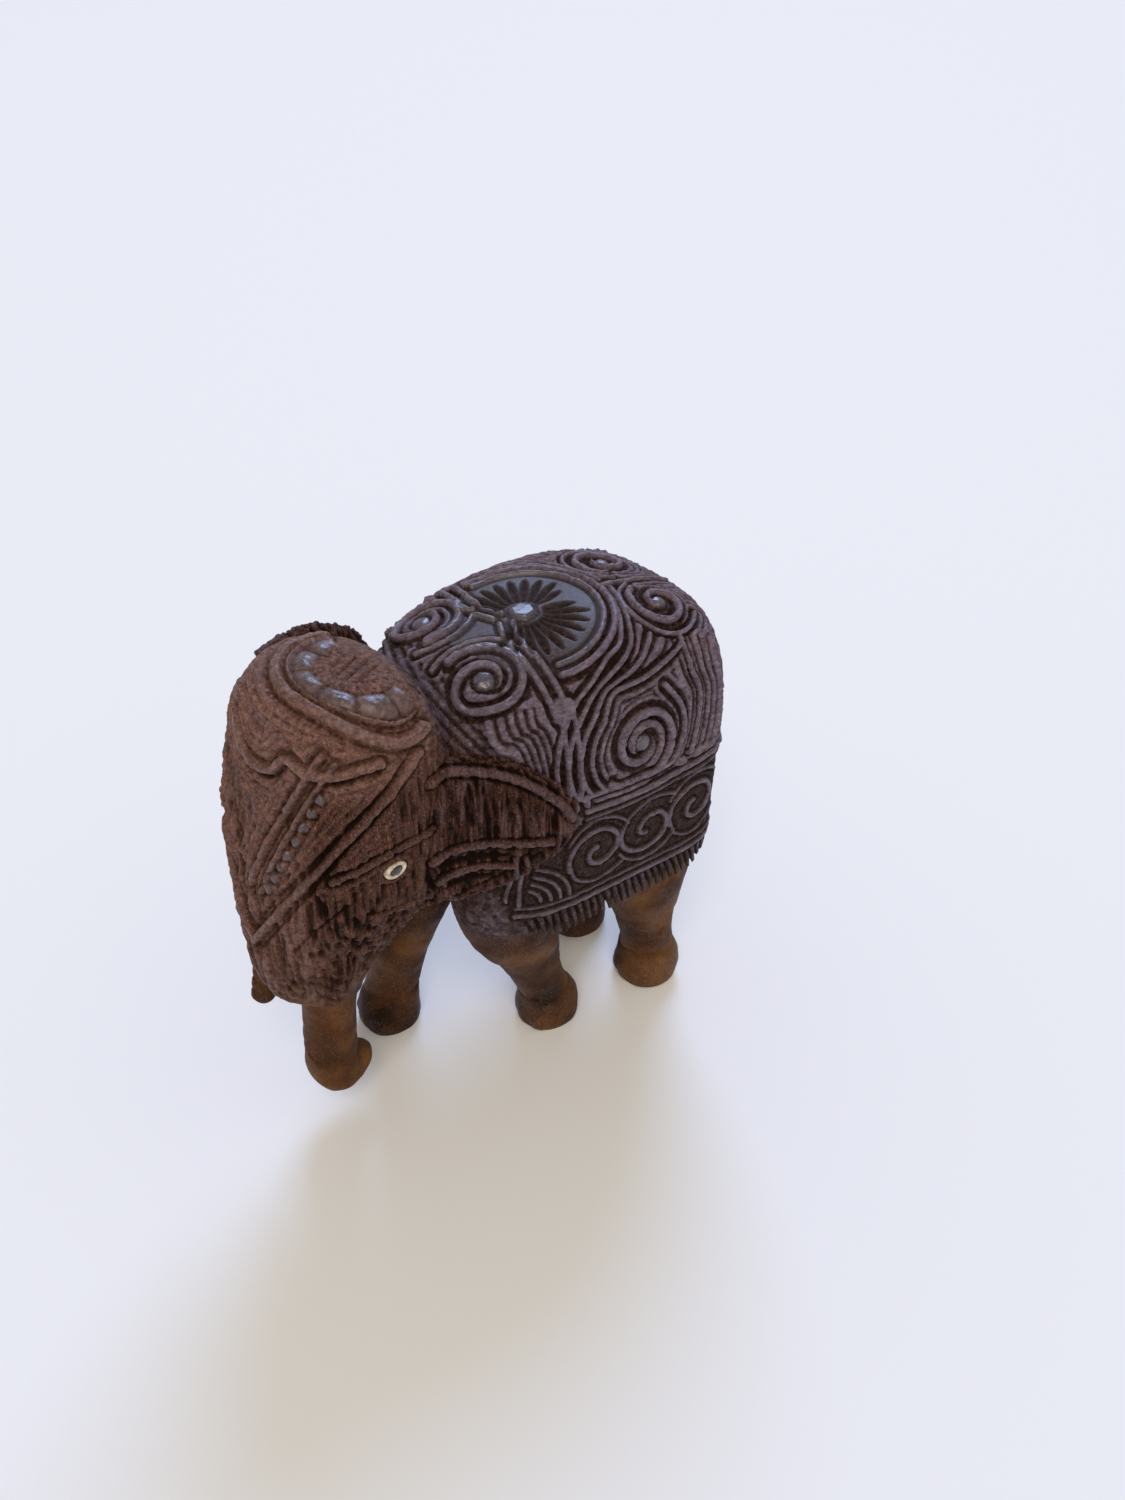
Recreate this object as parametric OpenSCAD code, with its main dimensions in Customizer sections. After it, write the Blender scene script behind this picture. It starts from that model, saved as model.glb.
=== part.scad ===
// Carved elephant figurine. Millimetres, +Z up, head toward -Y, elephant's left toward +X.

/* [Body] */
// Half width of the barrel at its widest
barrel_half_w = 34; // [32:1:35]
// Turn of the head toward the elephant's left, degrees
head_yaw = 10; // [6:1:12]

/* [Carving] */
// Height of the raised carving above the blanket
relief_h = 0.8; // [0.5:0.1:1.2]
// Width of a carved ridge
ridge_w = 1.6; // [1.2:0.1:2.2]
// Spacing of the fringe teeth along the hem
fringe_pitch = 3.8; // [3.6:0.1:4.4]

/* [Eyes] */
// Long half axis of the eye inlay
eye_a = 3.1; // [2.6:0.1:3.4]
// Height of the eye inlay as a share of its length
eye_flat = 0.68; // [0.6:0.02:0.8]
// Gap all round an inlay
inlay_gap = 0.05; // [0.04:0.01:0.1]

/* [Hidden] */
W = barrel_half_w;
rose = [0.24, 0.14, 0.12];
bone = [0.85, 0.80, 0.68];
dark = [0.06, 0.07, 0.06];
eye_pos = [26.6, -55, 99];
// Where the carving's motifs sit. The back's own centre line is a little to
// the elephant's left of the barrel's, as the head's turn is.
art_x = 6.5;
boss = [art_x, 3.5];
shoulder = [16,-17];
rump = [12.5, 38];
wheel = [19.5,109];
// Centre of the crown ring in the head's frame, and its radii
crown = [6.5,-46];
crown_r = [19,15.6];

function lerp(a, b, t) = a + (b - a) * t;
function cr(p0, p1, p2, p3, t) = 0.5 * ((2*p1) + (p2-p0)*t + (2*p0-5*p1+4*p2-p3)*t*t + (3*p1-p0-3*p2+p3)*t*t*t);
function key(k, i) = k[max(0, min(len(k)-1, i))];
function fine(k, m) = [for (i=[0:len(k)-2]) for (j=[0:m-1]) cr(key(k,i-1), key(k,i), key(k,i+1), key(k,i+2), j/m), k[len(k)-1]];
function sp(c, n) = sign(c) * pow(abs(c), 2/n);
function ringpt(r, s) =
  let (u=[cos(r[3]), sin(r[3]), 0], w=[-sin(r[3]), cos(r[3]), 0],
       v=w*cos(r[4]) + [0,0,1]*sin(r[4]),
       cu=sp(cos(s), r[8]), sv=sp(sin(s), r[8]))
  [r[0], r[1], r[2]] + u*r[5]*cu + v*(sv > 0 ? r[6] : r[7])*sv;
module loft(keys, m, n, flip=false) {
  k = fine(keys, m); c = len(k);
  pts = concat([for (r=k) for (i=[0:n-1]) ringpt(r, i*360/n)], [[k[0][0],k[0][1],k[0][2]], [k[c-1][0],k[c-1][1],k[c-1][2]]]);
  faces = concat(
    [for (j=[0:c-2]) for (i=[0:n-1]) let (a=j*n+i, b=j*n+(i+1)%n) each [[a, b, b+n], [a, b+n, a+n]]],
    [for (i=[0:n-1]) [c*n, (i+1)%n, i]],
    [for (i=[0:n-1]) [c*n+1, (c-1)*n+i, (c-1)*n+(i+1)%n]]);
  polyhedron(points=pts, faces=flip ? [for (f=faces) [f[2],f[1],f[0]]] : faces, convexity=6);
}

// A body part is a list of rings: centre x, y, z, yaw, tilt, half width,
// depth on the +v side, depth on the -v side, roundness exponent.

// Barrel and neck, from the nape to the rump
torso = [
 [2,-48,102, 0,90, 15,20,22,2.2],
 [2.5,-40,102, 0,90, 22,28.5,32,2.3],
 [2.5,-29,101, 0,90, 25.5,31.5,36,2.4],
 [1.5,-18,99, 0,90, 29.5,35.5,38,2.5],
 [0,-4,  98, 0,90, W-2,39,40,2.7],
 [0,16, 98, 0,90, W,40,41,3.0],
 [0,34, 98, 0,90, W-1,39,40,3.0],
 [0,47,  97, 0,90, W-3,37,37,3.0],
 [0,53.5, 96, 0,90, W-7,34,31,2.9],
 [0,57.5, 95, 0,90, W-14,25.5,22,2.6],
 [0,59.5, 95, 0,90, 10,12,12,2.1]];

// Head, from the crown down to the root of the trunk
head = [
 [0,-48,141, 0,180, 11,10,8,2.0],
 [0,-48,138.5, 0,180, 19,17,13,2.3],
 [0,-47,131, 0,180, 25,21,17,2.6],
 [0,-47,119, 0,180, 27,24,19,2.8],
 [0,-48,103, 0,180, 27,27,18,2.8],
 [0,-49,87,  0,180, 25.5,29,17,2.6],
 [0,-53,74,  0,180, 20,27,18,2.3],
 [0,-58,64,  0,180, 15.5,22,14,2.2],
 [0,-61,55,  0,180, 12,16,10,2.1],
 [0,-61,48,  0,180, 9,9.5,8.5,2]];

// Trunk, hanging and curling back at the tip
trunk = [
 [0,-60,60,  0,180, 9,9,9,2],
 [0,-62,44,  0,180, 7.8,7.8,7.5,2],
 [0,-64,28,  0,180, 7.3,7.3,7.3,2],
 [0,-64.5,20,  0,185, 7.3,7.5,7.3,2],
 [0,-62.5,15,   0,225, 7,6.5,6.5,2],
 [0,-58,13.7,   0,275, 5.2,4.5,5,2],
 [0,-55.2,16, 0,310, 4.6,4,4,2],
 [0,-54.3,18.5, 0,335, 3,2.6,2.6,2]];

// Leg from the sole up into the barrel
function leg(x,y,xt,yt,zt,s=1) = [
 [x,y,0,   0,180, 9*s,9.5*s,8.5*s,2.2],
 [x,y,3,   0,180, 9.8*s,10.4*s,9.4*s,2.2],
 [x,y,9,   0,180, 9.6*s,10*s,9.4*s,2.1],
 [lerp(x,xt,.15),lerp(y,yt,.2),18, 0,180, 8*s,8.2*s,8.4*s,2.1],
 [lerp(x,xt,.35),lerp(y,yt,.42),30, 0,180, 9*s,10*s,10*s,2.1],
 [lerp(x,xt,.75),lerp(y,yt,.8),48, 0,180, 13*s,14.5*s,14.5*s,2.2],
 [xt,yt,zt,0,180, 13*s,16*s,17*s,2.2],
 [xt*.7,yt+2,zt+12,0,180, 7*s,9*s,9*s,2.2]];

// Ear slab, from its root on the head out to the tip
ear = [
 [23,-40,98, -28,90, 5.5,21,21,2.3],
 [28,-28,99, -28,90, 4.6,21,21,2.4],
 [33,-18,99.5, -26,90, 3.8,17,18,2.4],
 [38,-9,100, -26,90, 3.2,10.5,11,2.3],
 [40.5,-4.5,100, -26,90, 2.2,4,4,2.1]];

// Plan outline of the blanket's skirt: z, half width, front, back
skirt_rings = [for (r=[[57,33.6,40,36],[66,34.4,40,37],[80,35,40.5,37.5],[94,34.8,40.5,37.5],[104,33.6,39.5,36.5]])
  [0,19,r[0],0,180,r[1],r[2],r[3],5]];

function grow(rings, w, u, d, e) = [for (r=rings) [r[0],r[1],r[2],r[3],r[4],r[5]+w,r[6]+u,r[7]+d,r[8]+e]];

// Blanket skin over the barrel, h further out
module top_skin(h=0) loft(grow(torso, 1.8+h, 1.6+h, 4, 0.3), 2, 36);
module skirt_skin(h=0) loft(grow(skirt_rings, h, h, h, 0), 1, 36);

module blanket() {
  intersection() {
    top_skin();
    translate([-60,0,0]) rotate([90,0,90]) linear_extrude(120)
      polygon([[-30,150],[-27,118],[-23,86],[-21.5,62],[60,62],[70,72],[76,150]]);
  }
  difference() {
    skirt_skin();
    translate([-28,-14,50]) cube([56,66,12]);
    // gaps between the fringe teeth
    for (sx=[-1,1], y=[-15:fringe_pitch:50])
      translate([sx*35 - 1.6, y, 55]) cube([3.2, 1, 5.5]);
  }
}

// Flat drawing helpers for the carving
module line2(pts, w=ridge_w)
  for (i=[0:len(pts)-2]) hull() { translate(pts[i]) circle(d=w, $fn=6); translate(pts[i+1]) circle(d=w, $fn=6); }
function spiral(c, r0, r1, a0, a1, n) = [for (i=[0:n]) let (t=i/n, r=lerp(r0,r1,t), a=lerp(a0,a1,t)) c + r*[cos(a), sin(a)]];
module petal(c, a, r0, r1, w) translate(c) rotate(a) polygon([[r0,-w*.3],[lerp(r0,r1,.6),-w*.5],[r1,0],[lerp(r0,r1,.6),w*.5],[r0,w*.3]]);

// Carving drawn on the back, seen from above
module back_art() {
  translate(boss) circle(r=3.5, $fn=6);
  for (a=[-65:32:255]) petal(boss, a, 5.5, 17, 3.2);
  for (m=[0,1]) translate([art_x,0]) mirror([m,0]) {
    line2([for (a=[-8:25:92]) [0,3.5] + 21.5*[cos(a), sin(a)]]);
    line2(spiral(shoulder, 1.5, 10.5, 0, 480, 9));
    line2([[2,-2],[10,-4],[18,-3],[25,-1]]);
    line2(spiral(rump, 1.5, 7.5, 180, -240, 8));
  }
}

// Carving drawn on the flank, seen from the side: y, z
module flank_art() {
  line2(spiral(wheel, 1.5, 12, 90, -380, 9));
  line2([[-1,128],[0,112],[2,94],[52,94]]);
  line2([[6,120],[6.5,106],[12,97]]);
  line2([[-18,63],[-18,76],[-18,92]]);
  line2([[-17,63.5],[15,63.5],[52,63.5]], 1);
  for (y=[6:18:42]) line2(spiral([y,80], 1.2, 6.5, 0, 280, 5), 1.4);
}

module relief() {
  intersection() {
    top_skin(relief_h);
    translate([0,0,112]) linear_extrude(45) back_art();
  }
  for (m=[0,1]) mirror([m,0,0]) intersection() {
    union() { top_skin(relief_h); skirt_skin(relief_h); }
    translate([25,0,0]) rotate([90,0,90]) linear_extrude(20) flank_art();
  }
}

// Straps and crown ornament of the headpiece
module head_relief() {
  intersection() {
    loft(grow(head, relief_h, relief_h, relief_h, 0), 2, 28, true);
    translate([0,-45,0]) rotate([90,0,0]) linear_extrude(50) {
      line2([[25,122],[19.5,107],[8,91],[0,76]], 2.2);
      line2([[17,131],[11,116],[2,98]], 2.2);
      mirror([1,0]) line2([[25,122],[19.5,107],[8,91],[0,76]], 2.2);
    }
  }
  for (t=[-160:35:-20])
    translate([crown.x + .7*crown_r.x*cos(t), crown.y + .7*crown_r.y*sin(t), 140 - 3*pow(max(0, cos(t)), 2)])
      scale([1,1.2,.6]) sphere(r=3.2, $fn=10);
}

// Grooved stubs beside the root of the trunk
module stub(p, n, d) translate(p) for (i=[0:n-1])
  translate(i*d) scale([1,1.2,.66]) sphere(r=5.2-i*.42, $fn=10);

module head_turn() { translate([0,-25,0]) rotate([0,0,head_yaw]) translate([0,25,0]) children(); }

// Oval drum lying along X
module oval(a, x0, x1) translate([x0,0,0]) scale([1,1,eye_flat]) rotate([0,90,0]) cylinder(r=a, h=x1-x0, $fn=40);
// The footprint is centred on the origin
module place() translate([0,10.2,0]) children();
module at_eye(side) head_turn() mirror([side < 0 ? 1 : 0,0,0]) translate(eye_pos) children();

module carved_body() color(rose) place() difference() {
  union() {
    loft(torso, 2, 28);
    blanket();
    relief();
    head_turn() {
      loft(head, 2, 28, true);
      loft(trunk, 2, 14, true);
      head_relief();
      stub([12.5,-65,68], 4, [0,-1.1,-3.3]);
      stub([-13.5,-67.1,62], 6, [.6,-1.6,-3]);
    }
    loft(leg(12,6,17,-13,74,0.94), 2, 14);
    loft(leg(-15,-35,-15,-20,74,0.94), 2, 14);
    loft(leg(16,43,17,36,74), 2, 14);
    loft(leg(-16,38,-17,34,74), 2, 14);
    loft(ear, 2, 14);
    translate([0,-14,6.5]) mirror([1,0,0]) scale([1,1,1.06]) loft(ear, 2, 14);
  }
  for (s=[-1,1]) at_eye(s) oval(eye_a + inlay_gap, -2, 8);
}
module eye_ring(side) color(bone) place() at_eye(side) difference() {
  oval(eye_a, -2 + inlay_gap, 0.5);
  oval(eye_a*.58 + inlay_gap, -1, 8);
}
module pupil(side) color(dark) place() at_eye(side) oval(eye_a*.58, -1 + inlay_gap, 0.7);
module left_eye_ring() eye_ring(1);
module left_pupil() pupil(1);
module right_eye_ring() eye_ring(-1);
module right_pupil() pupil(-1);

carved_body();
left_eye_ring();
left_pupil();
right_eye_ring();
right_pupil();
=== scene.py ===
import math
import bmesh
import bpy
import numpy as np
from mathutils import Matrix, Vector
from mathutils.bvhtree import BVHTree
from mathutils.kdtree import KDTree


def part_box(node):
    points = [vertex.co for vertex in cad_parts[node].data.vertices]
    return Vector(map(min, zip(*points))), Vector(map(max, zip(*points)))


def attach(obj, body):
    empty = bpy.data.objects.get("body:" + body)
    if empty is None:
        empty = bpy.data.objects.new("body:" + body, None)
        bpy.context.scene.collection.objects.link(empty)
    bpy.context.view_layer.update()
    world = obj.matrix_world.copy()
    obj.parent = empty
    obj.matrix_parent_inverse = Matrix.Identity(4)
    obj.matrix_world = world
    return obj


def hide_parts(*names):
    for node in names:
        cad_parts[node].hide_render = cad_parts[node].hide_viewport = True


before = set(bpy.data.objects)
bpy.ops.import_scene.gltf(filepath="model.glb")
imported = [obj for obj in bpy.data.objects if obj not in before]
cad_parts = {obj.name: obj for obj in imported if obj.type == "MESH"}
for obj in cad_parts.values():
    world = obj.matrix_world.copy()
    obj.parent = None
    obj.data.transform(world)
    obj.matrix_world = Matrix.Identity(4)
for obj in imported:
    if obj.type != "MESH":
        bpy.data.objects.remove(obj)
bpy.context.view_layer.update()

VOXEL = 0.40     # mm
YAW = math.radians(10)              # turn of the head
W = 34.0
# The CAD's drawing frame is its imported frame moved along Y. The offset comes from the
# eye inlay, which part.scad puts at EYE in the unturned head.
EYE = np.array([26.6, -55.0, 99.0])

def turn(v):
    v = np.atleast_2d(np.asarray(v, float)); x, y = v[:,0], v[:,1]+25
    c, s = math.cos(YAW), math.sin(YAW)
    return np.stack([x*c - y*s, x*s + y*c - 25, v[:,2]], 1)
def unturn(v):
    v = np.atleast_2d(np.asarray(v, float)); x, y = v[:,0], v[:,1]+25
    c, s = math.cos(YAW), math.sin(YAW)
    return np.stack([x*c + y*s, -x*s + y*c - 25, v[:,2]], 1)
blo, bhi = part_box("left_pupil")
SHIFT_Y = round((blo[1]+bhi[1])*500 - float(turn(EYE-[.15,0,0])[0][1]), 1)

# ---------------------------------------------------------------- base form, mm, the CAD's own rings
TORSO = [
 (2,-48,102,0,90,15,20,22,2.2),(2.5,-40,102,0,90,22,28.5,32,2.3),(2.5,-29,101,0,90,25.5,31.5,36,2.4),
 (1.5,-18,99,0,90,29.5,35.5,38,2.5),(0,-4,98,0,90,W-2,39,40,2.7),(0,16,98,0,90,W,40,41,3.0),
 (0,34,98,0,90,W-1,39,40,3.0),(0,47,97,0,90,W-3,37,37,3.0),(0,53.5,96,0,90,W-7,34,31,2.9),
 (0,57.5,95,0,90,W-14,25.5,22,2.6),(0,59.5,95,0,90,10,12,12,2.1)]
HEAD = [
 (0,-48,141,0,180,11,10,8,2.0),(0,-48,138.5,0,180,19,17,13,2.3),(0,-47,131,0,180,25,21,17,2.6),
 (0,-47,119,0,180,27,24,19,2.8),(0,-48,103,0,180,27,27,18,2.8),(0,-49,87,0,180,25.5,29,17,2.6),
 (0,-53,74,0,180,20,27,18,2.3),(0,-58,64,0,180,15.5,22,14,2.2),(0,-61,55,0,180,12,16,10,2.1),
 (0,-61,48,0,180,9,9.5,8.5,2)]
TRUNK = [
 (0,-60,60,0,180,9,9,9,2),(0,-62,44,0,180,7.8,7.8,7.5,2),(0,-64,28,0,180,7.3,7.3,7.3,2),
 (0,-64.5,20,0,185,7.3,7.5,7.3,2),(0,-62.5,15,0,225,7,6.5,6.5,2),(0,-58,13.7,0,275,5.2,4.5,5,2),
 (0,-55.2,16,0,310,4.6,4,4,2),(0,-54.3,18.5,0,335,3,2.6,2.6,2)]
EAR = [
 (23,-40,98,-28,90,5.5,21,21,2.3),(28,-28,99,-28,90,4.6,21,21,2.4),(33,-18,99.5,-26,90,3.8,17,18,2.4),
 (38,-9,100,-26,90,3.2,10.5,11,2.3),(40.5,-4.5,100,-26,90,2.2,4,4,2.1)]
SKIRT = [(0,19,z,0,180,w,f,b,5) for z,w,f,b in
         ((57,33.6,40,36),(66,34.4,40,37),(80,35,40.5,37.5),(94,34.8,40.5,37.5),(104,33.6,39.5,36.5))]

def leg(x, y, xt, yt, zt, s=1.0):
    L = lambda a, b, t: a + (b - a) * t
    return [(x,y,0,0,180,9*s,9.5*s,8.5*s,2.2),(x,y,3,0,180,9.8*s,10.4*s,9.4*s,2.2),(x,y,9,0,180,9.6*s,10*s,9.4*s,2.1),
            (L(x,xt,.15),L(y,yt,.2),18,0,180,8*s,8.2*s,8.4*s,2.1),(L(x,xt,.35),L(y,yt,.42),30,0,180,9*s,10*s,10*s,2.1),
            (L(x,xt,.75),L(y,yt,.8),48,0,180,13*s,14.5*s,14.5*s,2.2),(xt,yt,zt,0,180,13*s,16*s,17*s,2.2),
            (xt*.7,yt+2,zt+12,0,180,7*s,9*s,9*s,2.2)]

def grow(rings, w, u, d, e):
    return [(r[0],r[1],r[2],r[3],r[4],r[5]+w,r[6]+u,r[7]+d,r[8]+e) for r in rings]

def loft(keys, m=6, n=72):
    k = np.array(keys, float)
    rows = []
    for i in range(len(k) - 1):
        p0, p1, p2, p3 = k[max(i-1,0)], k[i], k[i+1], k[min(i+2,len(k)-1)]
        for j in range(m):
            t = j / m
            rows.append(.5*(2*p1+(p2-p0)*t+(2*p0-5*p1+4*p2-p3)*t*t+(3*p1-p0-3*p2+p3)*t**3))
    rows.append(k[-1])
    verts = []
    for r in rows:
        ya, ti = math.radians(r[3]), math.radians(r[4])
        u = np.array([math.cos(ya), math.sin(ya), 0]); w = np.array([-math.sin(ya), math.cos(ya), 0])
        v = w*math.cos(ti) + np.array([0,0,1])*math.sin(ti)
        for i in range(n):
            a = 2*math.pi*i/n; c, s = math.cos(a), math.sin(a)
            cu = math.copysign(abs(c)**(2/r[8]), c); sv = math.copysign(abs(s)**(2/r[8]), s)
            verts.append(r[:3] + u*r[5]*cu + v*(r[6] if sv > 0 else r[7])*sv)
    c = len(rows)
    faces = [(j*n+i, j*n+(i+1)%n, (j+1)*n+(i+1)%n, (j+1)*n+i) for j in range(c-1) for i in range(n)]
    verts += [rows[0][:3], rows[-1][:3]]
    faces += [(c*n, (i+1)%n, i) for i in range(n)] + [(c*n+1, (c-1)*n+i, (c-1)*n+(i+1)%n) for i in range(n)]
    return np.array(verts), faces

def ball(c, r, n=18):
    v, f = [], []
    for i in range(1, n):
        t = math.pi*i/n
        for j in range(n):
            a = 2*math.pi*j/n
            v.append((c[0]+r[0]*math.sin(t)*math.cos(a), c[1]+r[1]*math.sin(t)*math.sin(a), c[2]+r[2]*math.cos(t)))
    for i in range(n-2):
        for j in range(n):
            f.append((i*n+j, (i+1)*n+j, (i+1)*n+(j+1)%n, i*n+(j+1)%n))
    v += [(c[0],c[1],c[2]+r[2]), (c[0],c[1],c[2]-r[2])]
    k = (n-1)*n
    f += [(k, j, (j+1)%n) for j in range(n)] + [(k+1, (n-2)*n+(j+1)%n, (n-2)*n+j) for j in range(n)]
    return np.array(v), f

def outward(me):
    bm = bmesh.new(); bm.from_mesh(me); bmesh.ops.recalc_face_normals(bm, faces=bm.faces); bm.to_mesh(me); bm.free()
def make_mesh(name, parts):
    me = bpy.data.meshes.new(name); vs, fs, off = [], [], 0
    for v, f in parts:
        vs.append(v); fs += [tuple(i+off for i in q) for q in f]; off += len(v)
    me.from_pydata(np.vstack(vs).tolist(), [], fs); me.update(); outward(me)
    return me
def tree(parts):
    vs, fs, off = [], [], 0
    for v, f in parts:
        vs += [Vector(p) for p in v]; fs += [tuple(i+off for i in q) for q in f]; off += len(v)
    return BVHTree.FromPolygons(vs, fs)

cloth_parts = [loft([(0,-25,100,0,90,24.5,34,34,2.4)] + grow([r for r in TORSO if r[1] > -24], 1.8, 1.6, 1.0, .3)), loft(SKIRT)]
head_part = loft(HEAD)
ear_part = loft(EAR, 8, 48)
solids = [loft(TORSO)] + cloth_parts
solids += [(turn(head_part[0]), head_part[1])]
tk = loft(TRUNK, 6, 48); solids += [(turn(tk[0]), tk[1])]
for p, n, d in (((12.5,-65,68), 4, (0,-1.1,-3.3)), ((-13.5,-67.1,62), 6, (.6,-1.6,-3))):     # tusk sheaths
    for i in np.arange(0, n-.99, .5):
        r = 5.2-i*.42; v, f = ball((p[0]+i*d[0], p[1]+i*d[1], p[2]+i*d[2]), (r, r*1.2, r*.8)); solids.append((turn(v), f))
for a in ((12,6,17,-13,74,.94), (-15,-35,-15,-20,74,.94), (16,43,17,36,74,1), (-16,38,-17,34,74,1)):
    solids.append(loft(leg(*a), 6, 48))
solids.append(ear_part)
fe = ear_part[0].copy(); fe[:,0] *= -1; fe[:,2] = fe[:,2]*1.06+6.5; fe[:,1] -= 14; solids.append((fe, ear_part[1]))

me = make_mesh("base", solids)
ob = bpy.data.objects.new("base_tmp", me); bpy.context.scene.collection.objects.link(ob)
md = ob.modifiers.new("r", "REMESH"); md.mode = "VOXEL"; md.voxel_size = VOXEL; md.adaptivity = 0
dg = bpy.context.evaluated_depsgraph_get()
me2 = bpy.data.meshes.new_from_object(ob.evaluated_get(dg)); bpy.data.objects.remove(ob)
# keep only the outer shell, if the remesh left anything loose
bm = bmesh.new(); bm.from_mesh(me2); bm.verts.ensure_lookup_table()
seen = set(); groups = []
for v0 in bm.verts:
    if v0.index in seen: continue
    g, st = [], [v0]; seen.add(v0.index)
    while st:
        v = st.pop(); g.append(v)
        for e in v.link_edges:
            o = e.other_vert(v)
            if o.index not in seen: seen.add(o.index); st.append(o)
    groups.append(g)
groups.sort(key=len)
for g in groups[:-1]: bmesh.ops.delete(bm, geom=g, context="VERTS")
bm.to_mesh(me2); bm.free()

def arrays(m):
    V = np.empty(len(m.vertices)*3); m.vertices.foreach_get("co", V)
    E = np.empty(len(m.edges)*2, dtype=np.int32); m.edges.foreach_get("vertices", E)
    return V.reshape(-1,3), E.reshape(-1,2)
V, E = arrays(me2); NV = len(V)
deg = np.bincount(E.ravel(), minlength=NV).astype(float); deg[deg == 0] = 1
def lap(A):
    out = np.empty_like(A)
    for k in range(A.shape[1]):
        out[:,k] = (np.bincount(E[:,0], A[E[:,1],k], NV) + np.bincount(E[:,1], A[E[:,0],k], NV))/deg - A[:,k]
    return out
for i in range(int(14*(0.42/VOXEL)**1.2)+4):
    V = V + .55*lap(V)
    if i % 2: V = V - .30*lap(V)
def setco(m, V):
    m.vertices.foreach_set("co", np.ascontiguousarray(V, dtype=np.float32).ravel()); m.update()
setco(me2, V)
N = np.empty(NV*3); me2.vertices.foreach_get("normal", N); N = N.reshape(-1,3)
bvh = BVHTree.FromPolygons([Vector(v) for v in V], [tuple(p.vertices) for p in me2.polygons])
cloth_bvh = tree(cloth_parts); head_bvh = tree([head_part]); ear_bvh = tree([ear_part])

# ---------------------------------------------------------------- noise, seeded
def vnoise(P, seed):
    Pi = np.floor(P).astype(np.int64); f = P-Pi; f = f*f*(3-2*f); out = np.zeros(len(P))
    for dx in (0,1):
        for dy in (0,1):
            for dz in (0,1):
                h = (Pi[:,0]+dx)*374761393 + (Pi[:,1]+dy)*668265263 + (Pi[:,2]+dz)*2147483647 + seed*974711
                h = (h ^ (h >> 13))*1274126177; h = (h ^ (h >> 16)) & 0xffff
                w = (f[:,0] if dx else 1-f[:,0])*(f[:,1] if dy else 1-f[:,1])*(f[:,2] if dz else 1-f[:,2])
                out += w*(h/65535.0*2-1)
    return out
def sm(a, b, x):
    t = np.clip((x-a)/(b-a), 0, 1); return t*t*(3-2*t)

# ---------------------------------------------------------------- where carving goes
# The blanket is one sheet, (u, y): u runs over the barrel in mm from the spine, + on the
# elephant's left. The head's points are given in its own frame and pushed onto its skin.
def ray_in(bt, centre, d):
    d = Vector(d).normalized(); h = bt.ray_cast(Vector(centre)+d*140, -d)
    return np.array(h[0]) if h[0] is not None else None
TH = np.radians(np.arange(0, 150, 1.0)); sect = np.array([ray_in(cloth_bvh, (0,16,98), (math.sin(t),0,math.cos(t))) for t in TH])
UA = np.r_[0, np.cumsum(np.linalg.norm(np.diff(sect, axis=0), axis=1))]
flat = sect[:,2] > 120
def B(x, y):                                   # a point of the back, seen from above
    return (math.copysign(float(np.interp(abs(x), sect[flat,0], UA[flat])), x), y)
steep = sect[:,2] < 128
def F(y, z, side=1):                           # a point of the flank, seen from the side
    return (side*float(np.interp(-z, -sect[steep,2], UA[steep])), y)
def sheet(u, y):
    t = float(np.interp(abs(u), UA, TH)); return ray_in(cloth_bvh, (0,y,98), (math.copysign(math.sin(t), u),0,math.cos(t)))
def on_head(p):
    q = ray_in(head_bvh, (0,-50,min(max(p[2],78),106)), (p[0], p[1]+50, p[2]-min(max(p[2],78),106)))
    return None if q is None else turn(q)[0]
def on_ear(s, z):
    o = Vector((23+s*.44, -40+s*.9, z)); d = Vector((.9,-.44,0)); h = ear_bvh.ray_cast(o+d*40, -d)
    return np.array(h[0]) if h[0] is not None else None

def fine(pts, step=.5):
    p = np.array(pts, float); out = []
    for i in range(len(p)-1):
        p0, p1, p2, p3 = p[max(i-1,0)], p[i], p[i+1], p[min(i+2,len(p)-1)]
        n = max(2, int(np.linalg.norm(p2-p1)/step))
        for j in range(n):
            t = j/n
            out.append(.5*(2*p1+(p2-p0)*t+(2*p0-5*p1+4*p2-p3)*t*t+(3*p1-p0-3*p2+p3)*t**3))
    out.append(p[-1]); return np.array(out)
def soft(pts, w=7):                             # the same line with its corners eased
    p = fine(pts, .6); q = np.pad(p, ((w,w),(0,0)), mode="edge"); k = np.hanning(2*w+3)[1:-1]; k /= k.sum()
    return np.stack([np.convolve(q[:,i], k, "valid") for i in (0, 1)], 1)
def shift(pts, k):                              # a line k mm to the side of another
    p = fine(pts, 1.0); d = np.gradient(p, axis=0); d /= np.maximum(np.linalg.norm(d, axis=1), 1e-6)[:,None]
    return p + k*np.stack([-d[:,1], d[:,0]], 1)

S = {"g": [], "G": [], "r": []}; BUMPS = []
def lay(kind, w, P3):
    P3 = [p for p in P3 if p is not None]; L = len(P3)
    for i, p in enumerate(P3):
        q = bvh.find_nearest(Vector(p), 6)
        if q[0] is not None: S[kind].append((np.array(q[0]), np.array(q[1]), w, i/max(1, L-1)))
MID = 6.5                                       # the back art's own centre line, as in part.scad
def cloth(kind, w, pts, mirror=True):
    f = fine(pts, .5)
    lay(kind, w, [sheet(*p) for p in f])
    if mirror: lay(kind, w, [sheet(2*MID-p[0], p[1]) for p in f])
def flank(kind, w, yz):
    f = fine([F(*p) for p in yz], .5)
    lay(kind, w, [sheet(u, y) for u, y in f]); lay(kind, w, [sheet(-u, y) for u, y in f])
def head(kind, w, pts, mirror=True):
    f = fine(pts, .5)
    lay(kind, w, [on_head(p) for p in f])
    if mirror: lay(kind, w, [on_head((-p[0], p[1], p[2])) for p in f])
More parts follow.
